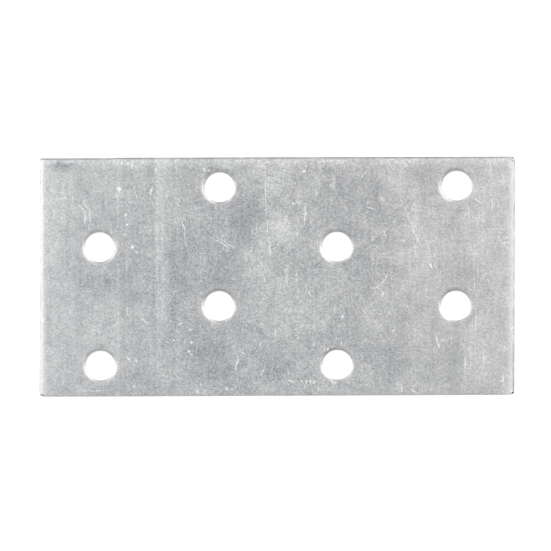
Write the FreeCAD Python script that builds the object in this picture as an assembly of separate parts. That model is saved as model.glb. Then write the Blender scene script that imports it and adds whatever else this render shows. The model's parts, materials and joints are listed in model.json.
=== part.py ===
# Mending plate: one flat piece of galvanised sheet steel, cut off a strip, with staggered punched holes.
# Sizes are in millimetres. +X runs along the plate, +Y across it, and +Z from the back to the punched face.
# The origin is the middle of the back face.
import FreeCAD, Part
import math
import os

# The blank
plate_length = 80.0
plate_width = 40.0
sheet_thickness = 2.0

# The holes: pairs across the plate, in columns that step down and up by turns
hole_diameter = 5.0
column_pitch = 20.0
row_pitch = 20.0
row_stagger = 10.0

# The punch rolls an edge over where it goes in, shears a straight land, and breaks out at a lean.
# The cut-off tool rolls the ends over widely, the slitter hardly rolls the long sides.
end_roll_width = 0.8
end_roll_depth = 0.4
side_roll_width = 0.25
side_roll_depth = 0.2
hole_roll_width = 0.45
hole_roll_depth = 0.25
breakout_height = 0.6
breakout_lean = 0.06

# The corners, each worn in its own way: two rounded, one clipped and one drawn down along the side
upper_left_round = 0.3
upper_right_clip = 0.65
lower_right_round = 0.7
lower_left_droop_length = 1.4
lower_left_droop_width = 0.5


def along_plate(u, height):
    """A point of the lengthwise section, u from the middle."""
    return FreeCAD.Vector(u, 0, height)


def across_plate(u, height):
    """A point of the crosswise section, u from the middle."""
    return FreeCAD.Vector(0, u, height)


def on_plane(x, y):
    """A point of the outline in the back face."""
    return FreeCAD.Vector(x, y, 0)


def quarter_ellipse(start, sharp, end):
    """A curve that leaves start towards the sharp corner and arrives at end from it."""
    curve = Part.BezierCurve()
    curve.setPoles([start, sharp, end])
    curve.setWeight(2, math.sqrt(0.5))
    return curve.toShape()


def sheared_edge(edge, into_metal, roll_width, roll_depth, point):
    """The cut through the sheet from back to face: the leaning breakout, the land and the roll.

    edge is where the land stands, and into_metal is +1 or -1, the side of it that the metal is on.
    """
    back = point(edge + into_metal * breakout_lean, 0)
    land_foot = point(edge, breakout_height)
    land_top = point(edge, sheet_thickness - roll_depth)
    sharp = point(edge, sheet_thickness)
    face = point(edge + into_metal * roll_width, sheet_thickness)
    return [
        Part.makeLine(back, land_foot),
        Part.makeLine(land_foot, land_top),
        quarter_ellipse(land_top, sharp, face),
    ]


def closed_face(edges):
    """The flat face inside edges that meet end to end, given in any order."""
    return Part.Face(Part.Wire(Part.__sortEdges__(edges)))


def sheet_section(span, roll_width, roll_depth, point):
    """A section right through the sheet, with a sheared edge at both ends of its span."""
    left = sheared_edge(-span / 2, 1, roll_width, roll_depth, point)
    right = sheared_edge(span / 2, -1, roll_width, roll_depth, point)
    lean = breakout_lean
    flat = span / 2 - roll_width
    back = Part.makeLine(point(lean - span / 2, 0), point(span / 2 - lean, 0))
    face = Part.makeLine(point(-flat, sheet_thickness), point(flat, sheet_thickness))
    return closed_face(left + right + [back, face])


def slit_strip():
    """The strip as the slitter leaves it, as long as the plate."""
    section = sheet_section(plate_width, side_roll_width, side_roll_depth, across_plate)
    section.translate(FreeCAD.Vector(-plate_length / 2, 0, 0))
    return section.extrude(FreeCAD.Vector(plate_length, 0, 0))


def cut_off_length():
    """What the cut-off tool leaves between two cuts, as wide as the plate."""
    section = sheet_section(plate_length, end_roll_width, end_roll_depth, along_plate)
    section.translate(FreeCAD.Vector(0, -plate_width / 2, 0))
    return section.extrude(FreeCAD.Vector(0, plate_width, 0))


def corner_points(x_side, y_side, length, width):
    """Where a worn corner leaves the end of the plate, its lost sharp point, and where it leaves the side."""
    end_x = x_side * plate_length / 2
    side_y = y_side * plate_width / 2
    on_end = on_plane(end_x, side_y - y_side * width)
    on_side = on_plane(end_x - x_side * length, side_y)
    return on_end, on_plane(end_x, side_y), on_side


def worn_outline():
    """The plate seen from above, sharp but for its four worn corners, right through the sheet."""
    upper_left = corner_points(-1, 1, upper_left_round, upper_left_round)
    upper_right = corner_points(1, 1, upper_right_clip, upper_right_clip)
    lower_right = corner_points(1, -1, lower_right_round, lower_right_round)
    lower_left = corner_points(-1, -1, lower_left_droop_length, lower_left_droop_width)
    corners = [
        quarter_ellipse(*upper_left),
        Part.makeLine(upper_right[0], upper_right[2]),
        quarter_ellipse(*lower_right),
        quarter_ellipse(*lower_left),
    ]
    sides = [
        Part.makeLine(upper_left[2], upper_right[2]),
        Part.makeLine(upper_right[0], lower_right[0]),
        Part.makeLine(lower_right[2], lower_left[2]),
        Part.makeLine(lower_left[0], upper_left[0]),
    ]
    return closed_face(corners + sides).extrude(FreeCAD.Vector(0, 0, sheet_thickness))


def punched_hole():
    """What one punch stroke takes out round the Z axis, running past the sheet on both sides."""
    radius = hole_diameter / 2
    back_radius = radius + breakout_lean
    face_radius = radius + hole_roll_width
    wall = sheared_edge(radius, 1, hole_roll_width, hole_roll_depth, along_plate)
    below = along_plate(back_radius, -sheet_thickness)
    above = along_plate(face_radius, 2 * sheet_thickness)
    ends = [
        Part.makeLine(along_plate(0, -sheet_thickness), below),
        Part.makeLine(below, along_plate(back_radius, 0)),
        Part.makeLine(along_plate(face_radius, sheet_thickness), above),
        Part.makeLine(above, along_plate(0, 2 * sheet_thickness)),
        Part.makeLine(along_plate(0, 2 * sheet_thickness), along_plate(0, -sheet_thickness)),
    ]
    return closed_face(wall + ends).revolve(FreeCAD.Vector(0, 0, 0), FreeCAD.Vector(0, 0, 1), 360)


def centred_places(room, pitch):
    """As many places a pitch apart as the room takes, centred on zero."""
    rounding = 1e-6
    gaps = max(math.floor(room / pitch + rounding), 0)
    return [(i - gaps / 2) * pitch for i in range(gaps + 1)]


def hole_centres():
    """The staggered pattern. A hole keeps at least a sheet thickness of metal to the nearest edge."""
    margin = hole_diameter / 2 + sheet_thickness
    columns = centred_places(plate_length - 2 * margin, column_pitch)
    rows = centred_places(plate_width - row_stagger - 2 * margin, row_pitch)
    centres = []
    for number, x in enumerate(columns):
        step = row_stagger / 2 if number % 2 else -row_stagger / 2
        centres += [FreeCAD.Vector(x, y + step, 0) for y in rows]
    return centres


def make_plate():
    """The blank, with its worn corners, and the holes punched through it."""
    blank = slit_strip().common(cut_off_length()).common(worn_outline())
    punch = punched_hole()
    cuts = [punch.translated(centre) for centre in hole_centres()]
    return blank.cut(cuts).removeSplitter().Solids[0]


plate = make_plate()
os.makedirs("parts", exist_ok=True)
plate.exportStep("parts/plate.step")
print(f"plate: {plate.Volume:.1f} cubic mm, {len(plate.Faces)} faces, valid {plate.isValid()}")
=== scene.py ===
import bmesh
import bpy
import json
import math
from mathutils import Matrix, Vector, noise


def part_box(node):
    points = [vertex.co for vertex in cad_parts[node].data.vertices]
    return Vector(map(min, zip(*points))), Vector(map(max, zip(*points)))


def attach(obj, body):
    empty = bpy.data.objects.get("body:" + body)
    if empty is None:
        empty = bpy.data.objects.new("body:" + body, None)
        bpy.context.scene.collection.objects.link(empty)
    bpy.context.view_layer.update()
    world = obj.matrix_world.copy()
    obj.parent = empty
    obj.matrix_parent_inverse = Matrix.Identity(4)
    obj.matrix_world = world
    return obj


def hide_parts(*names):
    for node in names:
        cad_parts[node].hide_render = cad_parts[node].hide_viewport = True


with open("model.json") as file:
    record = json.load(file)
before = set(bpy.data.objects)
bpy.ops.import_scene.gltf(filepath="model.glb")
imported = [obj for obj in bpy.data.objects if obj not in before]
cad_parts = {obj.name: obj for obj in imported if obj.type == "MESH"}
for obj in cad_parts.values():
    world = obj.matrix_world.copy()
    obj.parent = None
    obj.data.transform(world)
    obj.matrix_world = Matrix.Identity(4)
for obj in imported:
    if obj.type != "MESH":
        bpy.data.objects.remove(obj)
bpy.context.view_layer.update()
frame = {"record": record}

# The plate's own sizes, in millimetres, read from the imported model
MM = 0.001
plate_low, plate_high = (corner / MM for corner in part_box("plate"))
half_length = (plate_high.x - plate_low.x) / 2
half_width = (plate_high.y - plate_low.y) / 2
thickness = plate_high.z - plate_low.z
bores = [mount for mount in frame["record"]["mounts"] if mount["kind"] == "bore"]
hole_centres = [Vector(mount["pos_m"]).to_2d() / MM for mount in bores]
hole_radius = bores[0]["dims"]["r_mm"]

# How the edges rolled over, in millimetres, with -1 for the left or lower one and 1 for the right or upper
end_roll_widths = {-1: 1.47, 1: 2.0}
end_roll_depth = 0.4
side_roll_widths = {-1: 0.42, 1: 0.28}
side_roll_depths = {-1: 0.07, 1: 0.2}
hole_roll_slope = 0.44

# The ends' rolls are wider towards the lower side, by this share a millimetre
roll_growths = {-1: 0.0073, 1: 0.004}

# A roll's section, between a straight chamfer at 1 and an ellipse at 2. Past a share of its width it runs on
# straight and meets the land at a corner.
roll_power = 1.5
edge_straight = 0.85
hole_straight = 0.93

# Wavers along the edges: how far, over what length, and the seed of the pattern. Along the sides it is a
# share of the roll's width, and round a hole its length is in radians.
end_roll_wavers = [(0.08, 4, 0), (0.06, 1.3, 3)]
side_roll_waver = (0.15, 5, 7)
hole_roll_waver = (0.03, 0.5, 0)
end_cut_waver = (0.02, 12, 12)

# The cut-off tool stood a little out of square: how far its cuts fall short of the drawn length in the
# middle, and how far they lean to each side of that
end_shortfalls = {-1: 0.26, 1: 0.215}
end_slants = {-1: 0.14, 1: 0.152}

# The slitter jogged once along the upper side, and its knives closed in a little towards the right
jog_place = -27.3
jog = 0.08
jog_reach = 1
strip_taper = 0.05

# The metal within this reach of an end or a side takes up what the edge is drawn in
drawn_reach = 3

# The walls: the breakout leans and is torn, in waves that are closer upright, and the land strays a little
breakout_height = 0.6
breakout_lean = 0.06
least_torn = 0.7
tear_waves = 1.7
tear_upright = 2
land_stray = 0.01

# How far in from each edge steel grey is laid on the face, and how strongly: sheared-off zinc at the ends,
# with painted shade there, along the upper side and round the holes
end_bare_and_shades = {-1: (0.35, 0.5), 1: (0.4, 0.95)}
side_shades = {-1: (0.16, 0.0), 1: (0.45, 1.0)}
hole_shades = (0.3, 0.18)

# Painted shade: the ends take more steel grey towards the lower side, by this share a millimetre, the right
# more widely
end_shade_growth = 0.012
end_shade_spreads = {-1: 0, 1: 0.02}

# Round the holes steel grey is laid as painted shade, mostly on the side that this direction points to
hole_shade_side = Vector((-0.3, 0.95))

# The steel grey, sheared-off zinc and painted shade alike, is patchy: by how much, in how many waves to a
# millimetre, and the seed of the pattern
patchiness = 0.7
patch_waves = 0.8
patch_seed = 3.0

# How much painted highlight the rolled ends take, as shares of the most, and how deep a roll takes the most
end_highlights = {-1: 0.55, 1: 0.5}
full_highlight = 0.2

# Each hole's rim takes painted highlight, most on the two sides where its lit crescents fall. That starts
# this near to them, and is full a span nearer.
lit_crescent_sides = (Vector((-0.91, -0.42)), Vector((0.87, -0.5)))
least_rim_highlight = 0.3
rim_highlight_from = 0.45
rim_highlight_span = 0.35

# Round each hole the punch drew a shallow dish, and the plate that held the sheet down rubbed the zinc a
# little, both out to this reach. The side that this direction points to was hardly rubbed.
rubbed_reach = 1.6
dish_depth = 0.02
rubbed = 0.02
unrubbed_side = Vector((0.8, -0.6))
unrubbed = 0.8

# The holes, by their places on the drawing: how far each sits from there, how wide its rim rolled on its left
# and right, and the thin line of painted shade in its crescent: the way it faces, its strength and how far
# out it is
holes = {
    (-30, 5): ((0.29, 0.01), (0.56, 0.6), ((0.87, -0.5), 0.5, 0.14)),
    (-30, -15): ((0.36, 0.18), (0.55, 0.56), ((-0.91, -0.42), 0.3, 0.12)),
    (-10, 15): ((0.45, -0.02), (0.8, 0.4), ((-0.85, -0.53), 1.0, 0.2)),
    (-10, -5): ((0.28, 0.1), (0.66, 0.5), ((-0.94, -0.34), 0.4, 0.14)),
    (10, 5): ((0.05, -0.04), (0.66, 0.44), ((0.87, -0.5), 0.0, 0.12)),
    (10, -15): ((0.05, 0.19), (0.56, 0.36), ((-0.91, -0.42), 0.2, 0.12)),
    (30, 15): ((0.15, 0.11), (0.8, 0.3), ((-0.87, -0.5), 1.0, 0.2)),
    (30, -5): ((-0.08, 0.01), (0.58, 0.28), ((-0.91, -0.42), 0.0, 0.12)),
}
widest_rim = max(max(roll_widths) for shift, roll_widths, line in holes.values())
# Half the width of that line of painted shade
shade_line_half_width = 0.1

# The worn corners: side of X, side of Y, length along the plate, width across it, and how round they are,
# from 1 for a straight clip to 2 for a quarter of an ellipse
corners = [
    (-1, 1, 0.35, 0.25, 2),
    (1, 1, 0.4, 0.6, 1.2),
    (1, -1, 0.7, 0.7, 2),
    (-1, -1, 1.4, 0.5, 2),
]

# The mesh is a grid whose lines crowd together over the rolls. They start this multiple of a roll's width
# in, and the even lines keep a gap to them.
grid_step = 0.5
roll_steps = 6
roll_lead = 1.2
least_gap = 0.1

# Round each hole a square cell of the grid gives way to rings, with cuts across the spokes between the two.
# The rings allow for a little more than the widest rim, and out to a reach they move as the hole does.
cell_half = 4.0
cell_steps = round(cell_half / grid_step)
cell_side = [i * grid_step for i in range(-cell_steps, cell_steps)]
square_reach = sum(math.hypot(cell_half, place) for place in cell_side) / len(cell_side)
least_spoke = 0.6
spoke_cuts = 3
rim_spare = 0.05
rim_reach = 3.4

# The heights at which lines run round the walls
wall_levels = (0.15, 0.3, 0.45, breakout_height, 0.95, 1.3)

# A point this near to a plane counts as on it, and a search goes this much past its bounds or short of them
touch = 0.001
hair = 0.01


def edit(obj):
    """Opens one object in edit mode with nothing selected."""
    bpy.ops.object.select_all(action="DESELECT")
    bpy.context.view_layer.objects.active = obj
    obj.select_set(True)
    bpy.ops.object.mode_set(mode="EDIT")
    bpy.ops.mesh.select_mode(type="EDGE")
    bpy.ops.mesh.select_all(action="DESELECT")


def select_edges(obj, wanted):
    """Selects only the edges that pass the test, which is given each edge and its middle."""
    bpy.ops.mesh.select_all(action="DESELECT")
    mesh = bmesh.from_edit_mesh(obj.data)
    for edge in mesh.edges:
        if wanted(edge, (edge.verts[0].co + edge.verts[1].co) / 2):
            edge.select_set(True)
    bmesh.update_edit_mesh(obj.data)


def select_faces(obj, wanted):
    """Selects only the faces whose middle passes the test."""
    bpy.ops.mesh.select_all(action="DESELECT")
    mesh = bmesh.from_edit_mesh(obj.data)
    for face in mesh.faces:
        if wanted(face.calc_center_median()):
            face.select_set(True)
    bmesh.update_edit_mesh(obj.data)


def roll_places(width):
    """Distances in from an edge, from a little before a roll that wide starts to the edge itself."""
    steps = [width * (1 - math.sin(math.pi / 2 * i / roll_steps)) for i in range(roll_steps + 1)]
    return [width * roll_lead] + steps


def grid_lines(half, roll_width):
    """The grid's lines along one axis: even over the flat, closer over the rolls."""
    places = roll_places(roll_width)
    count = math.floor((half - places[0] - least_gap) / grid_step)
    flat = [i * grid_step for i in range(-count, count + 1)]
    far = [half - place for place in places]
    return [-line for line in reversed(far)] + flat + far


def add_sheet():
    """A flat grid the size of the plate, in millimetres, lying at the back face."""
    x_lines = grid_lines(half_length, max(end_roll_widths.values()))
    y_lines = grid_lines(half_width, max(side_roll_widths.values()))
    columns, rows = len(x_lines) - 1, len(y_lines) - 1
    bpy.ops.object.select_all(action="DESELECT")
    bpy.ops.mesh.primitive_grid_add(x_subdivisions=columns, y_subdivisions=rows, size=2)
    sheet = bpy.context.object
    sheet.name = sheet.data.name = "mending_plate"
    for vertex in sheet.data.vertices:
        column = round((vertex.co.x + 1) / 2 * columns)
        row = round((vertex.co.y + 1) / 2 * rows)
        vertex.co = (x_lines[column], y_lines[row], 0)
    return sheet


def punch_hole(sheet, centre):
    """Opens a square in the grid and draws its edge in to a circle, then in rings to the hole."""
    rings = [hole_radius + place for place in roll_places(widest_rim + rim_spare)]
    middle = (centre.x, centre.y, 0)

    def inside(point, half):
        return abs(point.x - centre.x) < half and abs(point.y - centre.y) < half

    def select_rim(wanted):
        select_edges(sheet, lambda edge, point: len(edge.link_faces) == 1 and wanted(point))

    def draw_in(share):
        bpy.ops.transform.resize(value=(share, share, 1), center_override=middle)

    edit(sheet)
    bpy.ops.mesh.select_mode(type="FACE")
    select_faces(sheet, lambda point: inside(point, cell_half))
    bpy.ops.mesh.delete(type="FACE")
    bpy.ops.mesh.select_mode(type="EDGE")
    select_rim(lambda point: inside(point, cell_half + hair))
    bpy.ops.mesh.extrude_region_move()
    bpy.ops.transform.tosphere(value=1, center_override=middle)
    draw_in(rings[0] / square_reach)
    select_edges(
        sheet,
        lambda edge, point: edge.calc_length() > least_spoke and inside(point, cell_half - hair),
    )
    bpy.ops.mesh.subdivide(number_cuts=spoke_cuts)
    for outer, inner in zip(rings, rings[1:]):
        select_rim(lambda point: (point.xy - centre).length < outer + hair)
        bpy.ops.mesh.extrude_region_move()
        draw_in(inner / outer)
    bpy.ops.object.mode_set(mode="OBJECT")


def thicken(sheet):
    """Pulls the flat sheet up to its thickness and cuts lines round its walls."""
    edit(sheet)
    bpy.ops.mesh.select_all(action="SELECT")
    bpy.ops.mesh.extrude_region_move(TRANSFORM_OT_translate={"value": (0, 0, thickness)})
    for level in wall_levels:
        bpy.ops.mesh.select_all(action="SELECT")
        bpy.ops.mesh.bisect(plane_co=(0, 0, level), plane_no=(0, 0, 1), threshold=1e-5)
    bpy.ops.mesh.select_all(action="SELECT")
    bpy.ops.mesh.normals_make_consistent(inside=False)
    bpy.ops.object.mode_set(mode="OBJECT")


def side_of(place):
    """1 in the right or upper half of the plate, and -1 in the left or lower one."""
    return 1 if place > 0 else -1


def held(share):
    """A share held between 0 and 1."""
    return min(max(share, 0), 1)


def nearest_hole(x, y):
    """The middle of the hole nearest to a point, and the way out from there to the point."""
    point = Vector((x, y))
    centre = min(hole_centres, key=lambda middle: (point - middle).length)
    return centre, point - centre


def own_values(centre):
    """What the table above has for the hole with that middle."""
    return holes[round(centre.x), round(centre.y)]


def turned_to(out, side):
    """How nearly a way out from a hole points to one side of it: 1 right to it, 0 across it or away."""
    return max(out.normalized().dot(side), 0)


def near_hole(out):
    """How near a point is to the rim of its hole: 1 at the rim, 0 where the rubbed ring round it ends."""
    return max(1 - (out.length - hole_radius) / rubbed_reach, 0)


def ripple(place, waver, which):
    """A smooth waver to and fro along an edge, with a pattern of its own for each edge or hole.

    Noise is 0 where all three of its numbers are whole, so the last one lies halfway between two.
    """
    reach, wave, seed = waver
    return reach * noise.noise(Vector((place / wave, seed + which, 0.5))) * 2


def roll_drop(distance, width, depth, straight):
    """How far the face has dropped at a distance in from the edge."""
    share = held(1 - distance / width)
    if share < straight:
        return depth * (1 - (1 - share**roll_power) ** (1 / roll_power))
    rest = 1 - straight**roll_power
    slope = straight ** (roll_power - 1) * rest ** (1 / roll_power - 1)
    return depth * (1 - rest ** (1 / roll_power) + slope * (share - straight))


def end_drop(x, y):
    """The wide roll at the two cut-off ends, a little uneven."""
    side = side_of(x)
    width = end_roll_widths[side] * (1 - roll_growths[side] * y)
    width += sum(ripple(y, waver, side) for waver in end_roll_wavers)
    return roll_drop(half_length - abs(x), width, end_roll_depth, edge_straight)


def side_drop(x, y):
    """The narrow roll along the two slit sides."""
    side = side_of(y)
    width = side_roll_widths[side] * (1 + ripple(x, side_roll_waver, side))
    return roll_drop(half_width - abs(y), width, side_roll_depths[side], edge_straight)


def hole_drop(x, y):
    """The rolled rim of the nearest hole, and the shallow dish round it."""
    centre, out = nearest_hole(x, y)
    if out.length > cell_half:
        return 0
    left, right = own_values(centre)[1]
    turn = math.atan2(out.y, out.x)
    width = (left + right) / 2 + (right - left) / 2 * math.cos(turn)
    width += ripple(turn, hole_roll_waver, centre.x)
    dish = near_hole(out)
    rim = roll_drop(out.length - hole_radius, width, hole_roll_slope * width, hole_straight)
    return rim + dish_depth * dish * dish


def rim_highlight(x, y):
    """How much painted highlight the rim of the nearest hole takes in the direction of a point."""
    out = nearest_hole(x, y)[1]
    facing = max(turned_to(out, side) for side in lit_crescent_sides)
    return least_rim_highlight + (1 - least_rim_highlight) * held((facing - rim_highlight_from) / rim_highlight_span)


def rubbed_ring(x, y):
    """How far the zinc was rubbed at a point near a hole."""
    out = nearest_hole(x, y)[1]
    return rubbed * near_hole(out) * (1 - unrubbed * turned_to(out, unrubbed_side))


def bare_and_shade_share(x, y):
    """How much steel grey lies at a point of the face, as sheared-off zinc and as painted shade. From 1 on it
    is all steel grey.
    """
    centre, out = nearest_hole(x, y)
    hole_reach, hole_strength = hole_shades
    shade_line_side, shade_line_strength, shade_line_place = own_values(centre)[2]
    shade_line_facing = turned_to(out, Vector(shade_line_side)) ** 2
    off_shade_line = abs(out.length - hole_radius - shade_line_place)
    end = side_of(x)
    # Painted shade: the ends' steel grey reaches further and grows stronger towards the lower side
    end_reach, end_strength = end_bare_and_shades[end]
    end_reach *= 1 + end_shade_spreads[end] * max(-y, 0)
    edges = [
        (half_length - abs(x), (end_reach, end_strength * (1 - end_shade_growth * y))),
        # The slit sides: painted shade along the upper side only
        (half_width - abs(y), side_shades[side_of(y)]),
        # Painted shade on the upper side of the hole's rim
        (out.length - hole_radius, (hole_reach, hole_strength * turned_to(out, hole_shade_side))),
        # The thin line of painted shade in the hole's crescent
        (off_shade_line, (shade_line_half_width, shade_line_strength * shade_line_facing)),
    ]
    patchy = 1 + patchiness * noise.noise(Vector((x, y, patch_seed)) * patch_waves)
    return max(strength * patchy * max(1 - distance / reach, 0) for distance, (reach, strength) in edges)


def scattered(x, y):
    """Shifts a hole and its rim to where the punch came down, and lets the shift die out round it."""
    centre, out = nearest_hole(x, y)
    share = held((cell_half - out.length) / (cell_half - rim_reach))
    shift = own_values(centre)[0]
    return x + shift[0] * share, y + shift[1] * share


def out_of_true(x, y):
    """Draws the ends and the long sides in to where the cut-off tool and the slitter left them."""
    side = side_of(x)
    short = end_shortfalls[side] - side * end_slants[side] * y / half_width
    short += ripple(y, end_cut_waver, -side)
    end_share = max(abs(x) - (half_length - drawn_reach), 0) / drawn_reach
    side_share = max(abs(y) - (half_width - drawn_reach), 0) / drawn_reach
    if x < jog_place:
        y -= jog * max(y - (half_width - jog_reach), 0) / jog_reach
    narrowed = strip_taper * (x / half_length + 1) / 2 * side_share
    return x - side * short * end_share, y - math.copysign(narrowed, y)


def worn_corner(x, y):
    """Draws a point in a corner back inside the corner's worn outline."""
    for x_side, y_side, length, width, power in corners:
        along = 1 - (half_length - x_side * x) / length
        across = 1 - (half_width - y_side * y) / width
        if along > 0 and across > 0:
            shrink = max(along, across) / (along**power + across**power) ** (1 / power)
            x = x_side * (half_length - (1 - along * shrink) * length)
            y = y_side * (half_width - (1 - across * shrink) * width)
    return x, y


def lean_back(x, y, z):
    """Moves a wall's point into the metal: the breakout leans and is torn, the land is nearly straight."""
    below = max(1 - z / breakout_height, 0)
    tear = 0.5 + 0.5 * noise.noise(Vector((x, y, z * tear_upright)) * tear_waves)
    land = land_stray * tear * min((thickness - z) / breakout_height, 1)
    depth = breakout_lean * below * (least_torn + tear) + land
    out = nearest_hole(x, y)[1]
    if out.length < hole_radius + hair:
        out = out.normalized() * depth
        return x + out.x, y + out.y
    if abs(x) > half_length - touch:
        x -= math.copysign(depth, x)
    if abs(y) > half_width - touch:
        y -= math.copysign(depth, y)
    return x, y


def shape(sheet):
    """Presses the punch's and the cut-off's marks into the flat-sided sheet, and wears its corners.

    For the material, the roll attribute keeps the painted highlight of the rolled rims, with the rubbed zinc
    round the holes, and another attribute the steel grey of sheared-off zinc and of painted shade.
    """
    roll = sheet.data.attributes.new("roll", "FLOAT", "POINT")
    bare_and_shade = sheet.data.attributes.new("bare_and_shade", "FLOAT", "POINT")
    for vertex in sheet.data.vertices:
        x, y, z = vertex.co
        if z > thickness - touch:
            end, side, hole = end_drop(x, y), side_drop(x, y), hole_drop(x, y)
            # The rolled rims' painted highlight, which grows as each roll drops, with the rubbed ring round
            # the hole
            highlit_and_rubbed = end * end_highlights[side_of(x)] + side + hole * rim_highlight(x, y)
            highlit_and_rubbed += rubbed_ring(x, y)
            roll.data[vertex.index].value = min(highlit_and_rubbed / full_highlight, 1)
            # Steel grey: sheared-off zinc, and painted shade by the edges and round the holes
            bare_and_shade.data[vertex.index].value = min(bare_and_shade_share(x, y), 1)
            z -= math.hypot(end, side) + hole
        x, y = lean_back(x, y, z)
        x, y = scattered(x, y)
        x, y = worn_corner(x, y)
        x, y = out_of_true(x, y)
        vertex.co = (x, y, z)


def finish_sheet(sheet):
    """Gives the plate its real size in metres, with its object at the origin."""
    bpy.ops.object.select_all(action="DESELECT")
    bpy.context.view_layer.objects.active = sheet
    sheet.select_set(True)
    sheet.scale = (MM, MM, MM)
    bpy.ops.object.transform_apply(location=True, rotation=True, scale=True)
    bpy.ops.object.shade_smooth_by_angle(angle=math.radians(40))


def make_plate():
    """The punched plate, modelled in millimetres and then brought to metres."""
    sheet = add_sheet()
    for centre in hole_centres:
        punch_hole(sheet, centre)
    thicken(sheet)
    shape(sheet)
    finish_sheet(sheet)
    return sheet


def linear(colour):
    """A colour written as sRGB hex, as the linear values that a shader takes."""
    channels = [int(colour[i : i + 2], 16) / 255 for i in (1, 3, 5)]
    return [c / 12.92 if c <= 0.04045 else ((c + 0.055) / 1.055) ** 2.4 for c in channels] + [1]


def add(tree, kind, inputs=None, **settings):
    """Adds a node with its settings. inputs gives sockets a value, a colour or another node's output."""
    node = tree.nodes.new("ShaderNode" + kind)
    for name, value in settings.items():
        setattr(node, name, value)
    for key, value in (inputs or {}).items():
        if isinstance(value, bpy.types.NodeSocket):
            tree.links.new(value, node.inputs[key])
        else:
            node.inputs[key].default_value = value
    return node


# A Mix node has sockets A and B for numbers and again for colours, so they go by their order in it
number_a, number_b = 2, 3
colour_a, colour_b = 6, 7
mixed_colour = 2


def set_stops(ramp, stops):
    """Gives a colour ramp its colours, each at its place between 0 and 1."""
    elements = ramp.color_ramp.elements
    while len(elements) < len(stops):
        elements.new(0.5)
    for element, (place, colour) in zip(elements, stops):
        element.position = place
        element.color = linear(colour)
    return ramp.outputs["Color"]


def new_material(name):
    """A material with its node tree still empty."""
    material = bpy.data.materials.new(name)
    material.use_nodes = True
    material.node_tree.nodes.clear()
    return material, material.node_tree


def new_metal(name):
    """A metal with its Principled shader and its output."""
    material, tree = new_material(name)
    shader = add(tree, "BsdfPrincipled", {"Metallic": 1})
    add(tree, "OutputMaterial", {"Surface": shader.outputs["BSDF"]})
    return material, tree, shader
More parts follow.
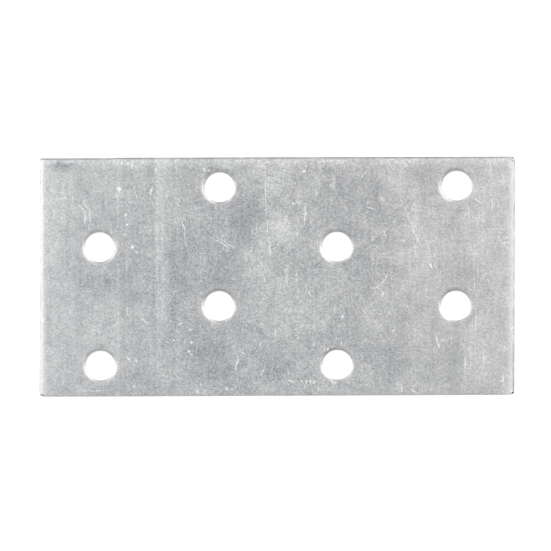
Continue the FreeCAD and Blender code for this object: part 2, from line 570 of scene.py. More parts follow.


# The marks that this plate has picked up, and painted glints, in millimetres on its face, and in levels on a
# scale of 0 to 255

# Scratches: the points that each runs through, its half width, and how much lighter or darker it is
scratches = [
    ([(-33.14, 12.22), (-32.05, 10.83), (-32.15, 8.94)], 0.14, 34),
    ([(-32.25, 12.4), (-31.3, 11.25), (-31.35, 8.9), (-31.55, 7.75)], 0.13, 26),
    ([(-36.4, 14.05), (-35.15, 14.05)], 0.12, 20),
    ([(-36.95, 13.1), (-35.1, 13.1)], 0.12, 19),
    ([(-34.7, 14.05), (-34.7, 13.35)], 0.12, 10),
    ([(-37.75, 17.2), (-37.65, 16.5)], 0.14, 18),
    ([(-20.8, 15.01), (-21.2, 13.62)], 0.16, 50),
    ([(-20.2, 18.39), (-20.3, 17.5)], 0.14, 45),
    ([(-23.79, 14.81), (-23.39, 12.52)], 0.12, 22),
    ([(-10.55, 6.45), (-8.05, 4.85)], 0.14, 36),
    ([(-10.2, 6.7), (-8.35, 5.55), (-7.05, 4.7)], 0.13, 26),
    ([(-16.02, 9.24), (-15.43, 7.84), (-15.43, 6.45), (-14.93, 4.76)], 0.14, 24),
    ([(-1.89, 17.7), (-1.79, 10.83), (-1.49, 6.45), (-0.99, 3.46)], 0.13, 20),
    ([(-12.34, 18.29), (-11.94, 17.5)], 0.14, 36),
    ([(-25.15, -13.4), (-24.6, -14.0)], 0.16, 40),
    ([(-16.6, -7.95), (-15.9, -7.8)], 0.17, 44),
    ([(-6.57, -13.46), (-7.07, -15.94)], 0.15, 48),
    ([(-22.59, -6.99), (-21.7, -7.88)], 0.13, 40),
    ([(-2.09, -15.15), (-2.79, -16.64)], 0.14, 32),
    ([(-0.33, -9.0), (-0.35, -10.05)], 0.17, 34),
    ([(1.45, -9.1), (1.85, -9.85)], 0.12, 14),
    ([(6.0, -8.4), (6.65, -9.55)], 0.12, 17),
    ([(-2.1, -0.15), (-2.1, -1.0)], 0.14, 22),
    ([(5.05, -2.3), (5.85, -3.55)], 0.12, 14),
    ([(10.5, -10.55), (10.85, -10.5)], 0.15, 32),
    ([(-2.95, -10.97), (-2.85, -11.7)], 0.14, 32),
    ([(-2.5, -7.6), (-2.3, -8.5)], 0.14, 22),
    ([(-12.75, -8.0), (-13.1, -9.4)], 0.12, 14),
    ([(18.41, 0.38), (18.11, -0.52), (17.32, -1.41), (16.32, -2.01), (15.63, -1.91)], 0.14, 32),
    ([(17.72, -2.61), (17.62, -3.4)], 0.12, 26),
    ([(10.75, -10.67), (10.75, -11.86)], 0.12, 26),
    ([(1.89, -17.44), (2.59, -17.44)], 0.14, 60),
    ([(3.88, -17.54), (4.28, -17.54)], 0.14, 46),
    ([(4.88, -17.24), (4.78, -17.94)], 0.13, 52),
    ([(5.57, -17.24), (5.47, -17.94)], 0.13, 56),
    ([(6.17, -17.24), (6.07, -17.94)], 0.13, 48),
    ([(20.8, -17.94), (20.8, -19.53)], 0.13, 30),
    ([(20.01, -17.64), (20.11, -18.33)], 0.13, 26),
    ([(22.2, -18.93), (23.79, -19.83)], 0.13, 26),
    ([(23.69, -10.27), (23.59, -10.87)], 0.13, 24),
    ([(26.57, -9.97), (26.87, -11.07), (27.07, -11.96)], 0.14, 34),
    ([(27.27, -10.87), (28.07, -10.57)], 0.13, 28),
    ([(31.45, -12.6), (31.4, -16.9)], 0.16, 24),
    ([(33.24, -5.1), (33.24, -8.88)], 0.12, 18),
    ([(33.04, -0.32), (33.04, -2.11)], 0.12, 20),
    ([(34.54, -12.86), (34.44, -15.55)], 0.12, 18),
    ([(32.15, 12.12), (32.25, 7.64)], 0.12, 16),
    ([(36.03, 13.22), (36.03, 11.03)], 0.12, 20),
    ([(35.73, 19.09), (35.93, 16.4)], 0.12, 20),
    ([(37.82, -16.74), (37.82, -17.84)], 0.14, 34),
    ([(37.03, -17.64), (38.02, -17.64)], 0.14, 34),
    ([(38.32, -11.96), (38.62, -12.56)], 0.14, 24),
    ([(37.8, -11.6), (38.2, -12.05), (37.8, -12.9)], 0.12, 16),
    ([(37.42, 5.55), (39.31, 5.55)], 0.12, 16),
    ([(37.82, 6.45), (38.82, 6.35)], 0.12, 18),
    ([(29.96, 7.44), (30.56, 6.75)], 0.12, 22),
    ([(30.56, 4.36), (30.95, 3.86)], 0.12, 20),
    ([(25.45, 2.4), (26.0, 1.2)], 0.15, 34),
    ([(26.25, 2.0), (26.85, 0.9)], 0.14, 26),
    ([(33.1, 13.05), (34.45, 11.75)], 0.14, 30),
    ([(21.15, 11.75), (21.65, 10.8), (22.45, 8.9), (23.1, 6.9), (24.0, 5.2)], 0.14, 19),
    ([(22.0, 19.49), (22.49, 18.89)], 0.13, 28),
    ([(15.4, 18.2), (13.55, 15.4)], 0.13, 22),
    ([(15.15, 11.6), (16.45, 11.15)], 0.15, 30),
    ([(17.22, 10.6), (17.12, 9.53)], 0.14, 30),
    ([(17.9, 7.7), (18.3, 6.5)], 0.14, 18),
    ([(26.25, 3.9), (26.25, 3.0)], 0.12, 14),
    ([(4.78, 11.92), (4.68, 8.84)], 0.12, 18),
    ([(7.45, 2.65), (6.0, 1.3)], 0.15, -34),
    ([(-29.0, 1.75), (-27.3, -0.2)], 0.12, 14),
    ([(-36.0, -2.4), (-28.3, -2.45)], 0.12, 9),
    ([(-32.5, -19.0), (-27.8, -19.0)], 0.13, 22),
]

# Painted glints of small dents: place, half size, and how much lighter
painted_glints = [
    (-26.28, 14.71, 0.3, 70),
    (-25.28, 10.33, 0.2, 50),
    (-25.08, 8.74, 0.22, 62),
    (-27.77, 7.54, 0.22, 30),
    (-25.48, 7.05, 0.22, 30),
    (-24.19, 4.96, 0.28, 66),
    (-11.35, 17.7, 0.2, 46),
    (-2.49, 18.49, 0.18, 40),
    (4.48, 17.6, 0.22, 56),
    (2.69, 12.22, 0.2, 50),
    (-14.63, -8.78, 0.2, 46),
    (-14.43, -10.97, 0.24, 50),
    (-14.83, -12.46, 0.2, 56),
    (-14.43, -12.96, 0.2, 50),
    (-17.42, -10.67, 0.18, 52),
    (-23.59, -14.05, 0.2, 44),
    (-23.99, -18.33, 0.22, 46),
    (-13.44, -19.23, 0.2, 44),
    (-8.56, -18.73, 0.22, 50),
    (-7.66, -18.73, 0.2, 44),
    (10.85, -6.79, 0.22, 50),
    (10.35, -8.35, 0.2, 28),
    (4.8, 2.05, 0.16, 26),
    (23.0, 12.0, 0.2, 22),
    (22.6, 11.35, 0.25, 14),
    (21.25, 5.95, 0.18, 26),
    (-10.95, 6.45, 0.15, 30),
    (3.5, -10.3, 0.18, 26),
    (19.41, -9.08, 0.2, 48),
    (32.35, 4.96, 0.2, 16),
    (-38.52, -12.46, 0.2, 16),
    (-31.75, -4.3, 0.18, 36),
    (-29.06, 7.54, 0.22, 44),
    (-23.39, 4.06, 0.2, 36),
    (-25.88, 19.09, 0.15, 50),
    (-24.88, 18.99, 0.15, 46),
    (-24.28, 18.69, 0.17, 60),
    (-24.19, 19.09, 0.14, 50),
    (-22.39, 19.19, 0.15, 46),
]

# Flecks with a colour of their own, many of them on the worn edges, and white ones that are painted
# highlights
# on bright facets: place, half length, half width, turn in degrees, colour and strength
flecks_and_highlights = [
    (-39.35, 19.85, 0.5, 0.25, 20, "#8a8784", 1.1),
    (39.55, 19.72, 0.32, 0.2, -20, "#767471", 1.2),
    (39.5, 19.25, 0.55, 0.15, -36, "#85827e", 1.1),
    (39.42, -19.55, 0.4, 0.36, 0, "#4b4c4b", 1.3),
    (39.22, -19.34, 0.28, 0.24, 0, "#ffffff", 1.3),
    (39.52, -18.3, 1.5, 0.14, 90, "#a3a4a2", 1.0),
    (-39.2, -19.82, 0.6, 0.22, -22, "#7a7d80", 1.2),
    (-39.55, 15.84, 0.3, 0.18, 90, "#a9abac", 1.2),
    (39.75, 10.94, 0.4, 0.2, 90, "#a3a19e", 1.0),
    (-39.17, -7.22, 0.42, 0.16, 45, "#ffffff", 1.5),
    (39.3, -8.8, 0.4, 0.15, 52, "#ffffff", 1.2),
    (8.44, -12.23, 0.3, 0.2, 80, "#ffffff", 1.6),
    (8.9, -12.18, 0.42, 0.22, 20, "#84898f", 0.8),
    (8.25, -12.68, 0.32, 0.2, 50, "#8a8d92", 0.7),
    # Painted highlight on a bright facet of this hole's rim
    (9.25, -17.75, 0.5, 0.18, -50, "#f6f6f4", 1.0),
    (9.76, -17.8, 0.22, 0.22, 0, "#ffffff", 1.3),
    (11.15, 2.1, 0.42, 0.32, 10, "#7f8184", 1.0),
    (19.85, 13.78, 0.42, 0.26, 0, "#ccb5a5", 0.7),
]

# Clouds in the zinc: middle, half size along and across, turn in degrees, and how much lighter or darker
clouds = [
    (-37, 12, 4, 10, 0, 9),
    (-29, 15, 11, 6, 0, 9),
    (-30, 9, 3, 2.5, 0, -5),
    (-29, -0.5, 5, 3, 0, -8),
    (-24, 1, 4, 7, 0, -6),
    (-24, -17, 4, 3, 0, -8),
    (-35.8, 18.6, 2.4, 0.95, 3, -42),
    (-11, 2, 8, 20, 0, -7),
    (-5, 10, 3, 6, 0, -14),
    (-16, 1, 3, 5.5, 0, -14),
    (-9, 1.5, 3, 4.5, 0, -12),
    (-13, -11.5, 4, 3, -45, -14),
    (-9, -16, 3, 5, 25, -15),
    (-14, -15, 3, 3.5, 0, -10),
    (-7, -9, 4, 3, 0, -4),
    (-0.4, -15.4, 2.8, 2.6, 0, -17),
    (0, -12, 3, 2, 0, -6),
    (-1, 16.5, 4.5, 4, 0, 16),
    (1, 8, 3, 3, 0, 15),
    (-2.5, 4.5, 2.4, 6.5, -15, 14),
    (-2, -2, 3, 5, 0, 7),
    (3.8, -7.2, 5.5, 5, 0, 12),
    (-2, -8, 3, 4, 0, 6),
    (6, 0, 3, 4, 0, -5),
    (9, 14.5, 3.5, 4, 0, -11),
    (11.5, 8.5, 3, 5, 15, -12),
    (14, 13, 4, 5, 0, -7),
    (17, 11, 3, 4, 0, -5),
    (15, 2, 6, 5, 0, -7),
    (11.5, -9, 3, 4, 0, -13),
    (18, -13.5, 5, 4.5, 0, -13),
    (15, -7, 3, 2.5, 0, 6),
    (20, 17.5, 4, 3, 0, 9),
    (24, 17, 3, 2.5, 0, -5),
    (20.5, 9, 2.5, 3, 0, -6),
    (24, 6, 4, 9, 0, 12),
    (34, 8, 5, 9, 0, 9),
    (36, 17, 4, 5, 0, 10),
    (29, -2, 11, 20, 0, 6),
    (31.9, 0.4, 2.2, 2.6, 0, -12),
    (33.5, -12, 3, 7, 0, 14),
    (29.7, -13, 1.8, 7, 0, -10),
    (38, -17.5, 3, 3.5, 0, 9),
    (-32, -10, 8, 10, 0, 10),
    (6, -10, 7, 9, 0, -4),
    (-6, 10, 7, 9, 0, -4),
]

# Patches with a clearer outline, given like the clouds
patches = [
    (0.9, 8.1, 1.3, 2.4, 0, 12),
    (4.75, 10.4, 0.3, 1.7, 0, 16),
    (9.3, 15.6, 0.55, 1.2, 0, 20),
    (3.6, 13.5, 0.6, 1.5, 0, 18),
    (6.6, 15.5, 0.6, 1.2, 0, 14),
    (17.5, 13.2, 0.6, 1.2, 0, 17),
    (23.2, 8.9, 0.55, 2.5, 12, 5),
    (1.6, 0.5, 0.3, 1.7, 0, 25),
    (3.2, -0.2, 0.27, 1.3, 0, 16),
    (8.6, 17.5, 1.0, 0.8, 0, -12),
    (17.0, 13.9, 0.7, 1.6, 0, -8),
    (10.9, 14.6, 0.8, 1.2, 0, -8),
    (21.0, 15.4, 2.0, 2.2, 0, 7),
    (16.4, 3.7, 2.0, 1.4, 0, 6),
    (-38.2, -7.3, 0.5, 1.6, 0, -10),
    (-38.3, -10.3, 0.5, 1.4, 0, -10),
    (31.75, -7.15, 0.3, 0.3, 0, -14),
    (-11.4, 17.35, 0.3, 0.3, 0, -20),
    (-11.0, 18.15, 0.35, 0.25, 0, -20),
    (-9.75, 18.05, 0.7, 0.3, 0, -22),
    (-8.45, 17.95, 0.5, 0.3, -20, -20),
    (-7.45, 17.1, 0.4, 0.4, 0, -16),
    (28.35, 17.3, 0.35, 0.35, 0, -20),
    (29.1, 17.75, 0.5, 0.25, 20, -22),
    (30.1, 17.95, 0.7, 0.25, 0, -18),
    (32.2, 17.05, 0.35, 0.4, 0, -14),
    (12.2, 7.0, 0.5, 0.4, -35, -22),
    (11.2, 7.65, 0.5, 0.3, 0, -16),
    (13.05, 6.45, 0.4, 0.6, 0, -20),
    (9.1, 7.55, 0.4, 0.3, 0, -14),
    (29.9, -2.1, 0.8, 0.25, 0, -18),
    (31.4, -2.5, 0.35, 0.3, 0, -16),
    (28.65, -2.5, 0.35, 0.3, 0, -14),
    (-11.7, -2.95, 0.35, 0.35, 0, -14),
    (-7.7, -2.75, 0.35, 0.3, 0, -14),
    (-9.75, -2.1, 0.6, 0.25, 0, -12),
    (37.9, 15.5, 0.5, 0.9, 0, 14),
    (30.6, 10.8, 0.6, 0.5, 0, -13),
    (-28.5, -0.7, 1.1, 0.7, -35, -13),
    (-29.5, -11.6, 1.1, 0.45, 0, -16),
    (-33.0, -17.3, 0.6, 0.6, 0, -12),
    (-38.4, -13.4, 0.4, 0.8, 0, -12),
    (-29.6, 1.8, 0.6, 0.3, 0, -14),
    (-6.35, 15.0, 0.3, 0.6, 0, -14),
    (-12.4, -3.25, 0.45, 0.5, 0, -17),
    (10.4, 1.75, 0.7, 0.35, 0, -18),
    (10.05, -14.8, 2.9, 2.9, 0, -18),
    (29.9, -5.0, 2.9, 2.9, 0, -10),
    (-38.2, -17.0, 0.4, 0.4, 0, -12),
    (-5.95, -9.9, 0.5, 0.2, 25, 14),
    (-4.6, -8.75, 0.55, 0.5, 0, -14),
    (-3.1, -9.1, 0.5, 0.8, 0, -12),
    (-8.1, -15.05, 0.6, 0.5, 0, -14),
    (-9.45, -17.9, 0.3, 0.25, 0, 14),
    (5.55, -17.5, 0.55, 0.2, 0, 18),
    (-22.3, -1.6, 1.0, 0.3, -15, -13),
    (-21.3, -2.8, 1.0, 0.3, -20, -14),
    (32.9, 3.4, 0.45, 1.0, 0, 9),
    (12.1, 2.45, 1.3, 0.5, 40, -16),
    (32.6, -6.8, 1.6, 0.5, 55, -16),
    (15.95, 6.25, 0.33, 0.35, 20, 26),
    (20.05, 1.95, 0.4, 0.16, -25, 22),
    (17.2, 6.2, 0.6, 0.5, 0, -9),
    (-35.4, 13.43, 0.25, 0.2, 0, 26),
    (-33.55, 12.6, 0.27, 0.25, 0, -22),
    (-31.8, 13.9, 0.25, 0.35, 0, -20),
    (-32.15, 12.75, 0.35, 0.3, 0, 16),
    (-32.75, 12.5, 0.25, 0.2, 0, -16),
    (-37.0, 18.55, 0.4, 0.3, 0, -16),
    (-35.4, 18.75, 0.6, 0.35, 0, -14),
    (-34.4, 18.9, 0.25, 0.2, 0, -18),
    (-38.3, 14.95, 0.4, 1.2, 0, -10),
    (-1.2, 4.15, 0.25, 0.9, 5, 20),
    (-3.05, 2.15, 0.35, 0.3, 0, -18),
    (0.75, 4.72, 0.24, 0.22, 0, -24),
    (6.05, -11.5, 0.3, 0.18, 0, 20),
]

# Stripes that the mill's rolls drew along Y: place in X, half width, middle and half length, and levels
stripes = [
    (-38.2, 3.4, 0, 60, 14),
    (-34.5, 0.8, 4, 30, 5),
    (-27.2, 0.9, -9, 13, 9),
    (-19.3, 1.7, 14, 34, 14),
    (-17.4, 0.7, -4, 26, -8),
    (23.3, 0.9, 11, 12, 7),
    (34.2, 1.0, 9, 14, 7),
    (37.6, 2.6, 0, 60, 9),
    (32.4, 0.7, -10, 16, 6),
    (30.3, 0.6, 4, 30, -5),
    (26.2, 0.5, -6, 20, -4),
    (-37.9, 0.4, -1.5, 5, -10),
    (-26.6, 0.24, 0, 60, 10),
    (-25.6, 0.24, 0, 60, -5),
    (-20.7, 0.3, 0, 60, -6),
    (-20.0, 0.26, 6, 50, 11),
    (-35.6, 0.22, 4, 40, 6),
    (-34.1, 0.22, 4, 40, 6),
    (-32.8, 0.3, 0, 60, -5),
    (2.9, 0.3, 0, 60, -5),
    (28.0, 0.25, 0, 60, 5),
    (29.4, 0.25, 0, 60, -5),
    (33.1, 0.22, 0, 60, 5),
]

# Grain and rolling marks: waves to a millimetre in X and in Y, turn in degrees, detail and strength
grains = [
    ((0.16, 0.16), 0, 2, 30),
    ((0.5, 0.45), 0, 2, 44),
    ((1.6, 1.5), 0, 3, 66),
    ((3.7, 3.4), 15, 2, 120),
    ((0.9, 0.03), 0, 3, 15),
    ((3.0, 0.16), 0, 2, 16),
]
grain_roughness = 0.6

# Hairlines: waves to a millimetre across and along them, turn in degrees, threshold and strength
hairlines = [
    ((2.6, 0.28), 8, 0.66, 46),
    ((2.2, 0.30), -14, 0.67, 46),
    ((2.4, 0.34), 42, 0.69, 55),
    ((2.2, 0.36), -52, 0.69, 55),
    ((2.8, 0.5), 88, 0.70, 45),
]
hairline_detail = 2
hairline_span = 0.15

# The grain keeps its strength this far to each side of a line across the plate, then fades to a share of it
calm_middle = -3
calm_reach = (14, 32)
calmest = 0.78

# The bright strip along the upper side, and the bright nicks in it
strip_reach = (18.0, 19.4)
strip_levels = 20
nick_waves = (2.2, 2.6)
nick_span = (0.64, 0.76)
nick_levels = 40

# What is drawn gets an uneven outline: waves to a millimetre, and how far the outline wanders
cloud_wander = (0.45, 3.0)
mark_wander = (0.8, 0.5)
wander_detail = 3

# A mark fades from its middle to its rim, so it is drawn larger and stronger than its table has it
cloud_growth = 1.2
patch_growth, patch_gain = 1.4, 1.3
scratch_growth, scratch_gain = 1.4, 2.1
glint_growth, glint_gain = 1.4, 1.5

# The zinc's colours by the level of the tone, and its roughness and relief
lowest_tone, highest_tone = -60, 60
zinc_tones = [(-60, "#7e8084"), (-20, "#a7a8ab"), (0, "#bdbdbd"), (20, "#d1d1d0"), (60, "#f7f7f6")]
zinc_roughness = 0.48
zinc_relief = {"Strength": 0.25, "Distance": 0.000002}

# The zinc's tint drifts over the plate: the way it changes, how far to each side, and what it multiplies by
tint_way = (0.9, 0.5, 0)
tint_reach = 35
cool_tint = (0.992, 1.0, 1.008, 1)
warm_tint = (1.006, 1.0, 0.992, 1)

# The rims: at what share of painted highlight the zinc is brightest, its share of the highlight colour there,
# that colour and its roughness, and the steel grey of sheared-off zinc, also laid as painted shade
bright_from = 0.6
brightest = 0.85
rim_highlight_colour = "#e8e6e4"
burnished_roughness = 0.32
steel_and_shade_grey = "#a5a4a2"

# The sheared walls: waves to a millimetre of the lines dragged up the land, of the torn breakout and of the
# uneven line between them, where the land starts, and the colours, roughness and relief of both
drag_waves = (5, 5, 0.25)
torn_waves = 5
torn_roughness = 0.7
edge_line_waves = 1.2
edge_line_rise = 0.5
land_starts = (breakout_height + 0.2, breakout_height + 0.3)
land_colours = [(0.3, "#9a9c9d"), (0.7, "#d2d4d5")]
torn_colours = [(0.35, "#66686b"), (0.7, "#a4a6a8")]
wall_roughness = {number_a: 0.62, number_b: 0.3}
wall_relief = {"Strength": 0.5, "Distance": 0.00002}

# Where the materials go: the back's below a height in metres, the walls' below a depth in millimetres where
# the normal rises less than a slope, and the face's on the rest
back_slot, wall_slot = 1, 2
back_top = 0.000001
wall_start = 0.3
wall_slope = 0.3


def soft_oval(tree, where, middle, half_size, turn):
    """An oval spot: 1 in its middle, and 0 from its rim on."""
    place = {"Location": (*middle, 0), "Rotation": (0, 0, turn), "Scale": (*half_size, 1)}
    placed = add(tree, "Mapping", {"Vector": where, **place}, vector_type="TEXTURE")
    soft = add(tree, "TexGradient", {"Vector": placed.outputs[0]}, gradient_type="SPHERICAL")
    return soft.outputs["Fac"]


def oval(tree, where, tone, middle, half_size, turn, levels):
    """Adds a soft oval mark to the tone: full in its middle and nothing at its rim."""
    soft = soft_oval(tree, where, middle, half_size, turn)
    return add(tree, "Math", {0: soft, 1: levels, 2: tone}, operation="MULTIPLY_ADD").outputs[0]


def stretched_noise(tree, where, waves, turn, detail):
    """Noise drawn out along a direction, between 0 and 1."""
    place = {"Rotation": (0, 0, math.radians(turn)), "Scale": (*waves, 1)}
    placed = add(tree, "Mapping", {"Vector": where, **place})
    look = {"Scale": 1, "Detail": detail, "Roughness": grain_roughness}
    return add(tree, "TexNoise", {"Vector": placed.outputs[0], **look}).outputs["Fac"]


def in_millimetres(tree, scale):
    """The place on the plate, brought from metres to millimetres."""
    place = add(tree, "TexCoord").outputs["Object"]
    return add(tree, "VectorMath", {0: place, 1: scale}, operation="MULTIPLY").outputs[0]


def wandering(tree, where, wander):
    """The same place shifted to and fro, so that what is drawn there gets an uneven outline."""
    waves, reach = wander
    drift = add(tree, "TexNoise", {"Vector": where, "Scale": waves, "Detail": wander_detail})
    halfway = {0: drift.outputs["Color"], 1: (0.5, 0.5, 0.5)}
    centred = add(tree, "VectorMath", halfway, operation="SUBTRACT")
    shift = {0: centred.outputs[0], 1: (reach, reach, 0), 2: where}
    return add(tree, "VectorMath", shift, operation="MULTIPLY_ADD").outputs[0]


def grain_tone(tree, where):
    """The zinc's own grain and the mill's rolling marks, in levels round zero."""
    tone = 0
    for waves, turn, detail, levels in grains:
        pattern = stretched_noise(tree, where, waves, turn, detail)
        centred = add(tree, "Math", {0: pattern, 1: 0.5}, operation="SUBTRACT")
        raised = {0: centred.outputs[0], 1: levels, 2: tone}
        tone = add(tree, "Math", raised, operation="MULTIPLY_ADD").outputs[0]
    return tone


def hairline_tone(tree, where, tone):
    """Fine scuffs in several directions, each where its stretched noise peaks."""
    for waves, turn, threshold, levels in hairlines:
        pattern = stretched_noise(tree, where, waves, turn, hairline_detail)
        peak = {"Value": pattern, "From Min": threshold, "From Max": threshold + hairline_span}
        line = add(tree, "MapRange", peak)
        raised = {0: line.outputs[0], 1: levels, 2: tone}
        tone = add(tree, "Math", raised, operation="MULTIPLY_ADD").outputs[0]
    return tone


def calmer_ends(tree, where, tone):
    """The grain is a little weaker towards the plate's ends."""
    place = add(tree, "SeparateXYZ", {0: where})
    from_middle = add(tree, "Math", {0: place.outputs["X"], 1: -calm_middle}, operation="ADD")
    away = add(tree, "Math", {0: from_middle.outputs[0]}, operation="ABSOLUTE")
    start, end = calm_reach
    fading = {"From Min": start, "From Max": end, "To Min": 1, "To Max": calmest}
    share = add(tree, "MapRange", {"Value": away.outputs[0], **fading})
    return add(tree, "Math", {0: tone, 1: share.outputs[0]}, operation="MULTIPLY").outputs[0]


def upper_side_tone(tree, where, tone):
    """The face is brighter in a strip along its upper side, and has bright nicks there."""
    height = add(tree, "SeparateXYZ", {0: where})
    low, high = strip_reach
    strip = add(tree, "MapRange", {"Value": height.outputs["Y"], "From Min": low, "From Max": high})
    pattern = stretched_noise(tree, where, nick_waves, 0, 1)
    low, high = nick_span
    peak = {"Value": pattern, "From Min": low, "From Max": high, "To Max": nick_levels}
    nicks = add(tree, "MapRange", peak)
    levels = add(tree, "Math", {0: nicks.outputs[0], 1: strip_levels}, operation="ADD")
    raised = {0: strip.outputs[0], 1: levels.outputs[0], 2: tone}
    return add(tree, "Math", raised, operation="MULTIPLY_ADD").outputs[0]


def ovals(tree, where, tone, marks, growth, gain):
    """Adds a table of oval marks to the tone, with their sizes and levels multiplied by two factors."""
    for x, y, half_x, half_y, turn, levels in marks:
        half_size = (half_x * growth, half_y * growth)
        tone = oval(tree, where, tone, (x, y), half_size, math.radians(turn), levels * gain)
    return tone


def marked_tone(tree, where, tone):
    """The clouds, stripes, patches and scratches that this plate has picked up, and the painted glints."""
    cloudy = wandering(tree, where, cloud_wander)
    tone = ovals(tree, cloudy, tone, clouds, cloud_growth, 1)
    upright = [(x, y, half_x, half_y, 0, levels) for x, half_x, y, half_y, levels in stripes]
    tone = ovals(tree, where, tone, upright, 1, 1)
    shaky = wandering(tree, where, mark_wander)
    tone = ovals(tree, shaky, tone, patches, patch_growth, patch_gain)
    for points, half_across, levels in scratches:
        for (x0, y0), (x1, y1) in zip(points, points[1:]):
            middle = ((x0 + x1) / 2, (y0 + y1) / 2)
            half_size = (math.hypot(x1 - x0, y1 - y0) / 2 * scratch_growth, half_across)
            turn = math.atan2(y1 - y0, x1 - x0)
            tone = oval(tree, shaky, tone, middle, half_size, turn, levels * scratch_gain)
    # Painted glints of small dents
    dots = [(x, y, size, size, 0, levels) for x, y, size, levels in painted_glints]
    return ovals(tree, shaky, tone, dots, glint_growth, glint_gain)


def zinc_colour(tree, tone):
    """The zinc's colour by its tone: bluish where it is dull and dark, neutral where it is bright."""
    share = add(tree, "MapRange", {"Value": tone, "From Min": lowest_tone, "From Max": highest_tone})
    ramp = add(tree, "ValToRGB", {"Fac": share.outputs[0]})
    span = highest_tone - lowest_tone
    return set_stops(ramp, [((level - lowest_tone) / span, colour) for level, colour in zinc_tones])


def drifting_tint(tree, where, colour):
    """The zinc is a touch bluer at the lower left and a touch warmer at the upper right."""
    across = add(tree, "VectorMath", {0: where, 1: tint_way}, operation="DOT_PRODUCT").outputs["Value"]
    share = add(tree, "MapRange", {"Value": across, "From Min": -tint_reach, "From Max": tint_reach})
    ends = {"Factor": share.outputs[0], colour_a: cool_tint, colour_b: warm_tint}
    tint = add(tree, "Mix", ends, data_type="RGBA")
    both = {"Factor": 1.0, colour_a: colour, colour_b: tint.outputs[mixed_colour]}
    tinted = add(tree, "Mix", both, data_type="RGBA", blend_type="MULTIPLY")
    return tinted.outputs[mixed_colour]


def rim_mix(tree, shader, colour):
    """Lays the painted highlight of the rolled rims over the zinc, and the steel grey of the edges over both.
    """
    roll = add(tree, "Attribute", attribute_name="roll").outputs["Fac"]
    bare_and_shade = add(tree, "Attribute", attribute_name="bare_and_shade").outputs["Fac"]
    # Painted highlight on the rolled rims
    bright = add(tree, "MapRange", {"Value": roll, "From Max": bright_from, "To Max": brightest}).outputs[0]
    zinc = {"Factor": bright, colour_a: colour, colour_b: linear(rim_highlight_colour)}
    highlit_and_rubbed = add(tree, "Mix", zinc, data_type="RGBA").outputs[mixed_colour]
    # Steel grey over both: sheared-off zinc, and painted shade
    metals = {"Factor": bare_and_shade, colour_a: highlit_and_rubbed, colour_b: linear(steel_and_shade_grey)}
    steel = add(tree, "Mix", metals, data_type="RGBA")
    finish = {"Factor": bright, number_a: zinc_roughness, number_b: burnished_roughness}
    smooth = add(tree, "Mix", finish)
    tree.links.new(smooth.outputs[0], shader.inputs["Roughness"])
    return steel.outputs[mixed_colour]


def laid_flecks_and_highlights(tree, where, colour):
    """Lays the small marks that have a colour of their own, and the white painted highlights, over the rest.
    """
    for x, y, half_along, half_across, turn, mark, strength in flecks_and_highlights:
        soft = soft_oval(tree, where, (x, y), (half_along, half_across), math.radians(turn))
        share = add(tree, "Math", {0: soft, 1: strength}, operation="MULTIPLY", use_clamp=True)
        both = {"Factor": share.outputs[0], colour_a: colour, colour_b: linear(mark)}
        colour = add(tree, "Mix", both, data_type="RGBA").outputs[mixed_colour]
    return colour


def galvanised_sheet(name):
    """What both sides of the sheet share: the grain of the zinc, its hairlines and its relief."""
    material, tree, shader = new_metal(name)
    where = in_millimetres(tree, (1 / MM, 1 / MM, 0))
    fine = grain_tone(tree, where)
    scuffed = hairline_tone(tree, where, fine)
    bump = add(tree, "Bump", {"Height": fine, **zinc_relief})
    tree.links.new(bump.outputs[0], shader.inputs["Normal"])
    return material, tree, shader, where, scuffed


def galvanised_face():
    """Hot-dip galvanised sheet, rolled matt: fine bluish grain, soft clouds, thin bright scratches, and
    painted highlight and shade.
    """
    material, tree, shader, where, scuffed = galvanised_sheet("hot_dip_galvanised_steel_sheet")
    calm = calmer_ends(tree, where, scuffed)
    tone = marked_tone(tree, where, upper_side_tone(tree, where, calm))
    zinc = drifting_tint(tree, where, zinc_colour(tree, tone))
    rimmed = rim_mix(tree, shader, zinc)
    tree.links.new(laid_flecks_and_highlights(tree, where, rimmed), shader.inputs["Base Color"])
    return material


def galvanised_back():
    """The same sheet's other side, which lay on the die: the zinc's plain grain, with no rolled rims."""
    material, tree, shader, where, scuffed = galvanised_sheet("hot_dip_galvanised_steel_sheet_back")
    tree.links.new(zinc_colour(tree, scuffed), shader.inputs["Base Color"])
    shader.inputs["Roughness"].default_value = zinc_roughness
    return material


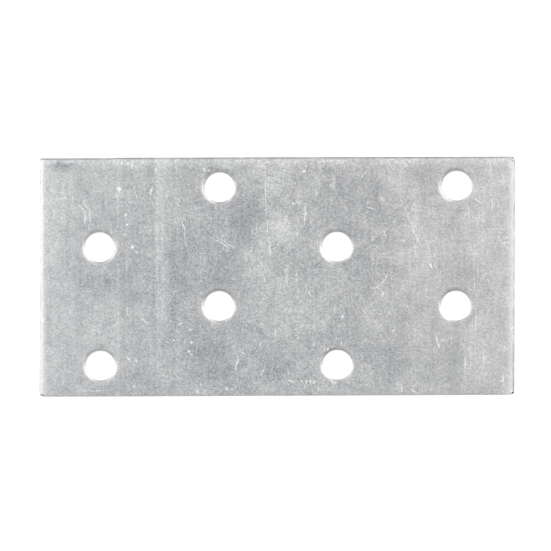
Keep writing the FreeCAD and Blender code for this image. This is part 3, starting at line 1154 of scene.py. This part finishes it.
def sheared_edge():
    """Bare steel where the sheet was cut: a land with fine upright lines, over a torn, dull breakout."""
    material, tree, shader = new_metal("sheared_steel_edge")
    where = in_millimetres(tree, (1 / MM, 1 / MM, 1 / MM))
    upright = add(tree, "Mapping", {"Vector": where, "Scale": drag_waves})
    drag = add(tree, "TexNoise", {"Vector": upright.outputs[0], "Scale": 1, "Detail": 3}).outputs["Fac"]
    tearing = {"Scale": torn_waves, "Detail": 4, "Roughness": torn_roughness}
    torn = add(tree, "TexNoise", {"Vector": where, **tearing}).outputs["Fac"]
    edge_line = add(tree, "TexNoise", {"Vector": where, "Scale": edge_line_waves, "Detail": 2})
    height = add(tree, "SeparateXYZ", {0: where})
    raised = {0: edge_line.outputs["Fac"], 1: edge_line_rise, 2: height.outputs["Z"]}
    uneven = add(tree, "Math", raised, operation="MULTIPLY_ADD")
    low, high = land_starts
    land = add(tree, "MapRange", {"Value": uneven.outputs[0], "From Min": low, "From Max": high}).outputs[0]
    land_colour = set_stops(add(tree, "ValToRGB", {"Fac": drag}), land_colours)
    torn_colour = set_stops(add(tree, "ValToRGB", {"Fac": torn}), torn_colours)
    both = {"Factor": land, colour_a: torn_colour, colour_b: land_colour}
    colour = add(tree, "Mix", both, data_type="RGBA")
    roughness = add(tree, "Mix", {"Factor": land, **wall_roughness})
    relief = add(tree, "Mix", {"Factor": land, number_a: torn, number_b: drag})
    bump = add(tree, "Bump", {"Height": relief.outputs[0], **wall_relief})
    tree.links.new(colour.outputs[mixed_colour], shader.inputs["Base Color"])
    tree.links.new(roughness.outputs[0], shader.inputs["Roughness"])
    tree.links.new(bump.outputs[0], shader.inputs["Normal"])
    return material


def dress(sheet):
    """Gives the face, the back and the sheared walls of the plate their own materials."""
    for material in (galvanised_face(), galvanised_back(), sheared_edge()):
        sheet.data.materials.append(material)
    for polygon in sheet.data.polygons:
        if polygon.center.z < back_top:
            polygon.material_index = back_slot
        elif abs(polygon.normal.z) < wall_slope and polygon.center.z < (thickness - wall_start) * MM:
            polygon.material_index = wall_slot


# The floor: white paper, which glows to the camera and in the metal, and lies just under the plate
floor_size = 6
floor_gap = 0.00001
floor_glow = 0.7
paper_grey = "#dcdcdc"

# The light: a grey room, white to the camera, and soft boxes over and beside the plate. Each has a place, a
# width and a height in metres, and a brightness that is 1 for white.
white_light = (1, 1, 1, 1)
room_grey = 0.61
room_tint = (0.975, 0.99, 1.01, 1)
softboxes = [
    ("right_softbox", (0.39, 0.24, 0.28), 0.72, 0.58, 1.12),
    ("left_softbox", (-0.43, 0.13, 0.28), 0.60, 0.60, 0.98),
    ("top_softbox", (0.0, 0.0, 0.62), 0.36, 0.36, 0.755),
]


def make_floor():
    """A plain white floor that still takes the plate's shadow."""
    bpy.ops.object.select_all(action="DESELECT")
    bpy.ops.mesh.primitive_plane_add(size=floor_size, location=(0, 0, -floor_gap))
    floor = bpy.context.object
    floor.name = "floor"
    material, tree = new_material("white_paper")
    path = add(tree, "LightPath").outputs
    seen = add(tree, "Math", {0: path["Is Camera Ray"], 1: path["Is Glossy Ray"]}, operation="ADD")
    seen = add(tree, "Math", {0: seen.outputs[0], 1: path["Is Transmission Ray"]}, operation="ADD")
    strength = add(tree, "Math", {0: seen.outputs[0], 1: floor_glow}, operation="MULTIPLY")
    glow = add(tree, "Emission", {"Color": white_light, "Strength": strength.outputs[0]})
    paper = add(tree, "BsdfDiffuse", {"Color": linear(paper_grey)})
    both = add(tree, "AddShader", {0: glow.outputs[0], 1: paper.outputs[0]})
    add(tree, "OutputMaterial", {"Surface": both.outputs[0]})
    floor.data.materials.append(material)


def make_light():
    """The studio: the room and its soft boxes, which all face the plate."""
    world = bpy.data.worlds.new("studio")
    bpy.context.scene.world = world
    world.use_nodes = True
    tree = world.node_tree
    tree.nodes.clear()
    seen = add(tree, "LightPath").outputs["Is Camera Ray"]
    grey = add(tree, "Background", {"Color": room_tint, "Strength": room_grey})
    white = add(tree, "Background", {"Color": white_light, "Strength": 1.0})
    mixed = add(tree, "MixShader", {0: seen, 1: grey.outputs[0], 2: white.outputs[0]})
    add(tree, "OutputWorld", {"Surface": mixed.outputs[0]})
    for name, place, width, height, brightness in softboxes:
        light = bpy.data.lights.new(name, "AREA")
        light.shape = "RECTANGLE"
        light.size, light.size_y = width, height
        light.energy = brightness * math.pi * width * height
        lamp = bpy.data.objects.new(name, light)
        lamp.location = place
        lamp.rotation_euler = (-Vector(place)).to_track_quat("-Z", "Y").to_euler()
        bpy.context.scene.collection.objects.link(lamp)


# The camera looks straight down, and its frame is as wide as 551 pixels of the photograph
photo_pixels = 551
pixels_per_mm = 5.975
plate_centre_pixel = (277.1, 276.5)
photo_roll = math.radians(0.2)
lens = 400
sensor = 36


def make_camera():
    """A long lens straight above the plate."""
    data = bpy.data.cameras.new("camera")
    data.lens = lens
    data.sensor_width = sensor
    width = photo_pixels / pixels_per_mm * MM
    middle = photo_pixels / 2
    off_x = (middle - plate_centre_pixel[0]) / pixels_per_mm * MM
    off_y = (plate_centre_pixel[1] - middle) / pixels_per_mm * MM
    camera = bpy.data.objects.new("camera", data)
    camera.location = (off_x, off_y, thickness * MM + width * lens / sensor)
    camera.rotation_euler = (0, 0, -photo_roll)
    bpy.context.scene.collection.objects.link(camera)
    bpy.context.scene.camera = camera


make_camera()
plate = make_plate()
dress(plate)
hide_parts("plate")
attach(plate, "root")
make_floor()
make_light()
bpy.context.scene.view_settings.view_transform = "Standard"
